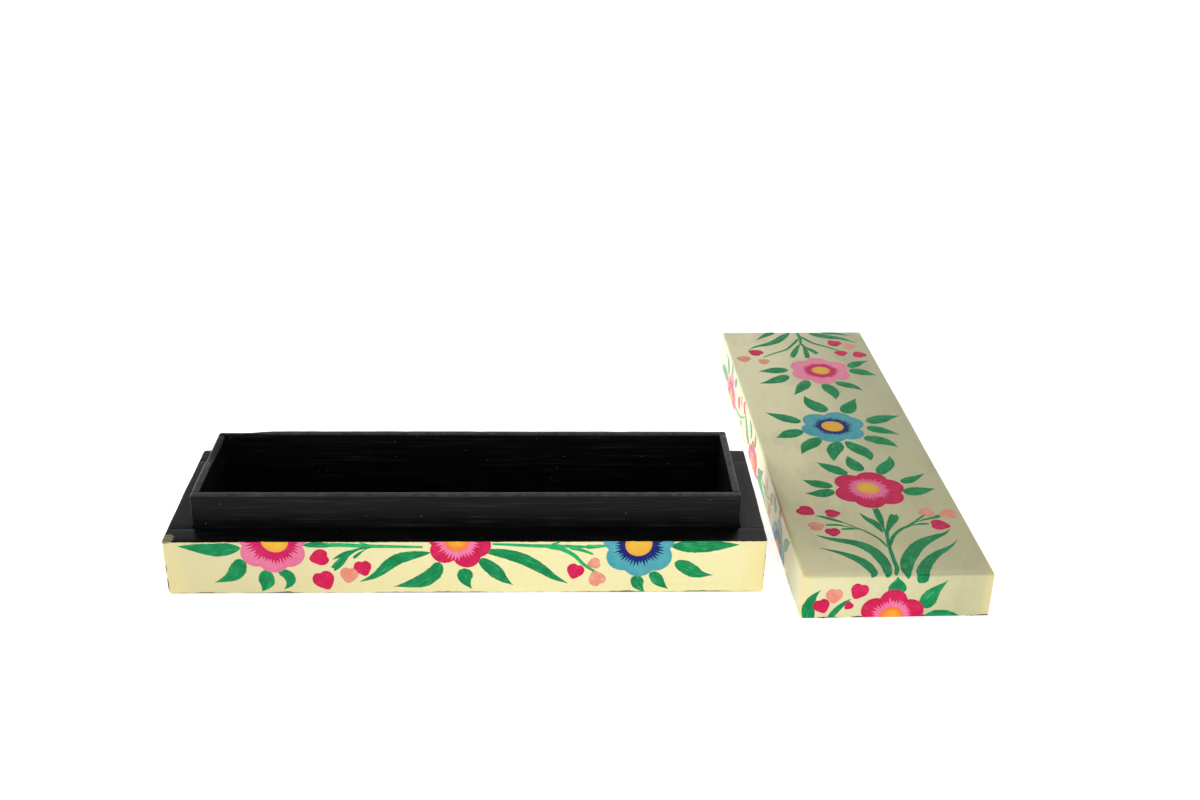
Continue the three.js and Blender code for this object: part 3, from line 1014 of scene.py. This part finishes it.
class Nodes:
    """Short calls that add shader nodes to a tree. A value is a socket or a constant."""

    def __init__(self, tree):
        self.tree = tree

    def put(self, socket, value):
        if isinstance(value, bpy.types.NodeSocket):
            self.tree.links.new(value, socket)
        else:
            socket.default_value = value

    def node(self, kind, inputs, **settings):
        made = self.tree.nodes.new("ShaderNode" + kind)
        for key, value in settings.items():
            setattr(made, key, value)
        for key, value in inputs.items():
            self.put(made.inputs[key], value)
        return made

    def math(self, operation, *values):
        return self.node("Math", dict(enumerate(values)), operation=operation).outputs[0]

    def times(self, first, second):
        return self.math("MULTIPLY", first, second)

    def plus(self, first, second):
        return self.math("ADD", first, second)

    def greatest(self, first, *others):
        for other in others:
            first = self.math("MAXIMUM", first, other)
        return first

    def vector(self, operation, *values):
        return self.node("VectorMath", dict(enumerate(values)), operation=operation).outputs

    def split(self, vector):
        return self.node("SeparateXYZ", {0: vector}).outputs

    def mix(self, share, *colours):
        """A colour between two, each a socket or a tone."""
        first, second = [srgb(*colour) if isinstance(colour, tuple) else colour for colour in colours]
        return self.node("Mix", {0: share, 6: first, 7: second}, data_type="RGBA").outputs[2]

    def layer(self, colour, mask, strength, tone):
        """A colour with a tone laid over it, at a strength, where the mask is 1."""
        return self.mix(self.times(mask, strength), colour, tone)

    def between(self, share, low, high):
        return self.node("MapRange", {"Value": share, "To Min": low, "To Max": high}).outputs[0]

    def step(self, value, start, end):
        """0 at start and 1 at end, smoothly."""
        inputs = {"Value": value, "From Min": start, "From Max": end}
        return self.node("MapRange", inputs, interpolation_type="SMOOTHSTEP").outputs[0]

    def noise(self, vector, size, detail=3.0):
        """Noise from 0 to 1 whose features have the given size, or three sizes, in millimetres."""
        sizes = size if isinstance(size, tuple) else (size,) * 3
        stretched = self.vector("MULTIPLY", vector, tuple(1 / part for part in sizes))[0]
        inputs = {"Vector": stretched, "Scale": 1.0, "Detail": detail, "Roughness": 0.55}
        return self.node("TexNoise", inputs).outputs[0]

    def specks(self, vector, cell, radius, share):
        """Small round specks, one in some of the cells, as 0 to 1. Sizes are in millimetres."""
        scaled = self.vector("MULTIPLY", vector, (1 / cell,) * 3)[0]
        cells = self.node("TexVoronoi", {"Vector": scaled, "Scale": 1.0})
        chosen = self.step(self.split(cells.outputs["Color"])[0], 1 - share, 1.02 - share)
        return self.times(chosen, self.step(cells.outputs["Distance"], radius / cell, 0.6 * radius / cell))

    def place_mm(self):
        """The point in millimetres in the piece's own box."""
        where = self.node("TexCoord", {}).outputs["Object"]
        return self.vector("MULTIPLY", where, (1 / MM,) * 3)[0]


class Paint(Nodes):
    """The nodes of one material."""

    def __init__(self, name):
        self.material = bpy.data.materials.new(name)
        self.material.use_nodes = True
        super().__init__(self.material.node_tree)
        self.shader = self.tree.nodes["Principled BSDF"].inputs

    def finish(self, colour, roughness, height, relief, **constants):
        """Sets the colour, roughness and relief, and the shader's constants by name."""
        bump = self.node("Bump", {"Height": height, "Distance": relief * MM, "Strength": 1.0})
        self.put(self.shader["Base Color"], colour)
        self.put(self.shader["Roughness"], roughness)
        self.put(self.shader["Normal"], bump.outputs[0])
        for key, value in constants.items():
            self.shader[key].default_value = value
        return self.material


def brushed_black(g, place, axis):
    """Colour, roughness and height of black paint brushed along one axis: its streaks lighter with dust and
    a painted sheen, and specks of dust on paint bumps lightened as painted glints.
    """
    streaks = g.noise(place, {"x": (26, 0.7, 0.7), "y": (0.7, 26, 0.7)}[axis], 4.0)
    clouds = g.noise(place, 9)
    fine = g.noise(place, 0.8, 2.0)
    # Specks of dust on small bumps of paint; their light colour is a painted glint
    dust_glints = g.specks(place, 2.8, 0.2, 0.24)
    # Streaks lighter with dust and with a painted sheen
    dust_and_sheen = g.times(g.step(streaks, 0.5, 0.72), g.between(clouds, 0.1, 0.9))
    colour = g.mix(clouds, *BLACK)
    colour = g.mix(dust_and_sheen, colour, BLACK_DUST_AND_SHEEN)
    colour = g.layer(colour, dust_glints, *DUST_AND_GLINTS)
    roughness = g.plus(g.between(streaks, 0.12, 0.42), g.between(clouds, 0.02, 0.16))
    height = g.plus(g.plus(g.times(streaks, 0.55), g.times(fine, 0.25)), g.times(dust_glints, 0.4))
    return colour, roughness, height


def brushed_cream(g, place, part):
    """Colour, roughness and height of the cream paint: darker towards the tray's left end, painted shade on
    the lid towards its back edge and near end, and stained at the ends.
    """
    x, y, _ = g.split(place)
    streaks = g.noise(place, (30, 0.9, 0.9), 4.0)
    cross = g.noise(place, (0.8, 22, 6))
    clouds = g.noise(place, (32, 24, 18))
    specks = g.noise(place, 1.5)
    colour = g.mix(clouds, *CREAM[part])
    if part == "tray":
        # The tray is darker towards its left end
        colour = g.layer(colour, g.step(x, 10, -112), *DARKENING[part])
    else:
        # Painted shade: the lid's top darkens towards its back edge, stopping short of the back face
        back = g.times(g.step(y, -26, 30), g.step(y, HALF_WIDTH - 0.1, HALF_WIDTH - 0.9))
        colour = g.layer(colour, back, *DARKENING[part])
        # Painted shade: the lid darkens towards its near end
        colour = g.layer(colour, g.step(x, -40, 112), *LID_NEAR_END_SHADE)
        colour = g.layer(colour, g.step(g.noise(place, (26, 14, 60), 4.0), 0.46, 0.7), *LID_SMUDGES)
    colour = g.layer(colour, g.step(streaks, 0.5, 0.72), *CREAM_STREAKS)
    colour = g.layer(colour, g.step(cross, 0.52, 0.75), *CROSS_STREAKS)
    colour = g.layer(colour, g.step(specks, 0.64, 0.8), *CREAM_SPECKS)
    corner = g.times(g.step(g.math("ABSOLUTE", x), 99, 108), g.step(g.math("ABSOLUTE", y), 30, 34.5))
    colour = g.mix(g.times(corner, g.between(clouds, 0.0, 0.8)), colour, STAIN)
    height = g.plus(g.times(streaks, 0.6), g.times(specks, 0.4))
    return colour, g.between(streaks, 0.13, 0.24), height


def black_areas(g, place, part, wave):
    """1 where a board is black: inside, where the halves meet, underneath and in a few drips."""
    x, y, z = g.split(place)
    far_x = g.math("ABSOLUTE", x)
    far_y = g.math("ABSOLUTE", y)
    slow = g.math("SUBTRACT", g.noise(place, 14, 2.0), 0.5)
    long_end = INNER_LENGTH + BLACK_LAP
    wide_end = INNER_WIDTH + BLACK_LAP
    inside = g.times(g.step(far_x, long_end, long_end - LINE_WIDTH),
                     g.step(far_y, wide_end, wide_end - LINE_WIDTH))
    if part == "lid":
        runs = g.plus(g.times(wave, 1.6), g.times(slow, 3.2))
        rim = g.step(g.plus(z, runs), LID_LINE, LID_LINE - LINE_WIDTH)
        inside = g.times(inside, g.step(z, LID_INSIDE, LID_INSIDE - LINE_WIDTH))
        underside = g.step(z, 0.06, 0.04)
        return g.greatest(inside, rim, underside)
    rim = g.step(g.plus(z, g.times(wave, 0.6)), RIM - LEDGE_LINE, RIM - LINE_WIDTH)
    runs = g.plus(g.times(wave, 0.7), g.times(slow, 1.8))
    # Black paint from underneath up the tray's foot, also standing in for the contact shade along it
    foot = g.step(g.plus(z, runs), FOOT_PAINT_AND_SHADE_LINE, FOOT_PAINT_AND_SHADE_LINE - LINE_WIDTH)
    arris = g.times(g.step(far_x, HALF_LENGTH - 0.9, HALF_LENGTH - 0.5),
                    g.step(far_y, HALF_WIDTH - 1.3, HALF_WIDTH - 0.7))
    drip = g.times(arris, g.step(g.noise(place, (2.4, 2.4, 6.0), 2.0), 0.6, 0.66))
    inside = g.times(inside, g.step(z, TRAY_INSIDE, TRAY_INSIDE + LINE_WIDTH))
    return g.greatest(inside, rim, foot, drip)


def chipped(g, place, wave, colour):
    """The colour with bare wood where the paint has chipped off."""
    middle = g.vector("SUBTRACT", place, CHIP_PLACE)[0]
    away = g.vector("LENGTH", g.vector("DIVIDE", middle, CHIP_SIZE)[0])["Value"]
    bare = g.step(g.plus(away, g.times(wave, 1.6)), 1.0, 0.85)
    grain = g.step(g.noise(place, (5, 0.6, 0.6), 4.0), 0.4, 0.62)
    wood = g.mix(grain, *WOOD)
    wood = g.mix(g.specks(place, 1.1, 0.3, 0.6), wood, WOOD_PORES)
    return g.mix(bare, colour, wood)


def painted_board(name, part, axis):
    """Cream outside and black on the inside, the ledge and the underside, in one material."""
    g = Paint(name)
    place = g.place_mm()
    cream, cream_rough, cream_height = brushed_cream(g, place, part)
    black, black_rough, black_height = brushed_black(g, place, axis)
    wave = g.math("SUBTRACT", g.noise(place, 3.2), 0.5)
    mask = black_areas(g, place, part, wave)
    colour = g.mix(mask, cream, black)
    roughness = g.node("Mix", {0: mask, 2: cream_rough, 3: black_rough}).outputs[0]
    height = g.node("Mix", {0: mask, 2: cream_height, 3: black_height}).outputs[0]
    if part == "tray":
        colour = chipped(g, place, wave, colour)
    return g.finish(colour, roughness, height, BOARD_RELIEF, IOR=BOARD_GLOSS)


def black_strip(name, axis):
    """Black paint on a strip of the liner, with dust, painted sheen and glints, and a painted highlight
    along the top of the lip.
    """
    g = Paint(name)
    place = g.place_mm()
    colour, roughness, height = brushed_black(g, place, axis)
    # Painted highlight: lighter grey in patches along the top of the lip
    lip_highlight = g.times(g.step(g.split(place)[2], LIP_TOP - 0.9, LIP_TOP - 0.2), g.noise(place, 2.5))
    colour = g.layer(colour, lip_highlight, *LIP_HIGHLIGHT)
    return g.finish(colour, roughness, height, STRIP_RELIEF, IOR=PAINT_GLOSS)


def brush_paint(name, body, light, pooled, thin=0.5, gathered=(0.8, 0.35)):
    """A coloured mark: light where the brush left little paint, deeper where paint gathered."""
    g = Paint(name)
    marks = g.node("Attribute", {}, attribute_name="stroke").outputs["Vector"]
    edge = g.split(marks)[2]
    hairs = g.noise(marks, (5.0, 0.32, 1000.0))
    clouds = g.noise(g.place_mm(), 4.5)
    start, strength = gathered
    colour = g.mix(clouds, body, pooled)
    colour = g.layer(colour, g.times(g.step(hairs, 0.48, 0.7), g.step(clouds, 0.66, 0.42)), thin, light)
    colour = g.layer(colour, g.step(edge, start, 1.0), strength, pooled)
    return g.finish(colour, g.between(hairs, 0.14, 0.28), hairs, MARK_RELIEF, IOR=PAINT_GLOSS)


def make_materials():
    """Each material by its name or by the boards that it is for."""
    paints = GREEN_PAINTS | FLOWER_PAINTS
    materials = {name: brush_paint(name, *facts) for name, facts in paints.items()}
    materials["tray_long"] = painted_board("tray_paint_lengthways", "tray", "x")
    materials["tray_end"] = painted_board("tray_paint_crossways", "tray", "y")
    materials["lid"] = painted_board("lid_paint", "lid", "x")
    materials["liner_long"] = black_strip("liner_paint_lengthways", "x")
    materials["liner_end"] = black_strip("liner_paint_crossways", "y")
    return materials


# Floor, light and camera


def make_stage():
    """A large pale floor that glows a little. The camera and mirror rays see it lifted to white,
    with the shadow kept."""
    mesh = bpy.data.meshes.new("studio_floor")
    corners = [(x * FLOOR_REACH, y * FLOOR_REACH, 0) for x, y in ((-1, -1), (1, -1), (1, 1), (-1, 1))]
    mesh.from_pydata(corners, [], [(0, 1, 2, 3)])
    floor = bpy.data.objects.new("studio_floor", mesh)
    bpy.context.scene.collection.objects.link(floor)
    g = Paint("studio_floor")
    rays = g.node("LightPath", {}).outputs
    seen = g.greatest(rays["Is Camera Ray"], rays["Is Glossy Ray"], rays["Is Transmission Ray"])
    g.put(g.shader["Emission Strength"], g.between(seen, FLOOR_GLOW, FLOOR_SHINE))
    g.put(g.shader["Emission Color"], (1, 1, 1, 1))
    tone = g.noise(g.place_mm(), 300, 2.0)
    mesh.materials.append(g.finish(g.mix(tone, *FLOOR), 0.9, tone, FLOOR_RELIEF))


def make_light():
    """Daylight from low down all round, with a lamp in front, one on the left and one behind."""
    world = bpy.data.worlds.new("studio")
    bpy.context.scene.world = world
    world.use_nodes = True
    g = Nodes(world.node_tree)
    rays = g.node("LightPath", {}).outputs
    seen = g.greatest(rays["Is Camera Ray"], rays["Is Transmission Ray"])
    up = g.greatest(g.split(g.node("TexCoord", {}).outputs["Generated"])[2], 0.0)
    low = g.math("POWER", g.math("SUBTRACT", 1.0, up), SKY_FALL)
    sky = g.math("MULTIPLY_ADD", low, SKY_EDGE, SKY_TOP)
    background = g.tree.nodes["Background"].inputs
    g.put(background["Strength"], g.between(seen, sky, 1.0))
    g.put(background["Color"], (1, 1, 1, 1))
    for name, (place, width, power) in LAMPS.items():
        data = bpy.data.lights.new(name, "AREA")
        data.shape = "DISK"
        data.size = width
        data.energy = power
        lamp = bpy.data.objects.new(name, data)
        bpy.context.scene.collection.objects.link(lamp)
        aim = Vector(LAMP_TARGET) - Vector(place)
        lamp.matrix_world = Matrix.Translation(place) @ aim.to_track_quat("-Z", "Y").to_matrix().to_4x4()


def make_camera():
    """The camera at the photograph's place and angle."""
    data = bpy.data.cameras.new("camera")
    data.sensor_width = CAMERA_SENSOR
    data.lens = CAMERA_LENS
    data.clip_start = CAMERA_NEAR
    camera = bpy.data.objects.new("camera", data)
    bpy.context.scene.collection.objects.link(camera)
    place = Matrix.Translation(Vector(CAMERA_PLACE) * MM)
    turn = Matrix.Rotation(CAMERA_YAW, 4, "Z")
    tip = Matrix.Rotation(math.pi / 2 - CAMERA_PITCH, 4, "X")
    roll = Matrix.Rotation(CAMERA_ROLL, 4, "Z")
    camera.matrix_world = place @ turn @ tip @ roll
    bpy.context.scene.camera = camera


# The whole scene

bpy.context.scene.view_settings.view_transform = "Standard"
make_camera()
make_stage()
make_light()
materials = make_materials()
make_boards(materials)

SIDES = (("front", LONG_SIDE), ("right", SHORT_SIDE), ("back", LONG_SIDE), ("left", SHORT_SIDE))
LID_TOP_SEED = 9
for seed, (side, motifs) in enumerate(SIDES):
    for part in ("tray", "lid"):
        paint_motifs(f"{part}_{side}", side_face(side, part), part, motifs, materials, seed)
lid_motifs = NEAR_SPRAY + FAR_SPRAY + TOP_LEAVES + TOP_FLOWERS
paint_motifs("lid_top", top_face(), "lid", lid_motifs, materials, LID_TOP_SEED)
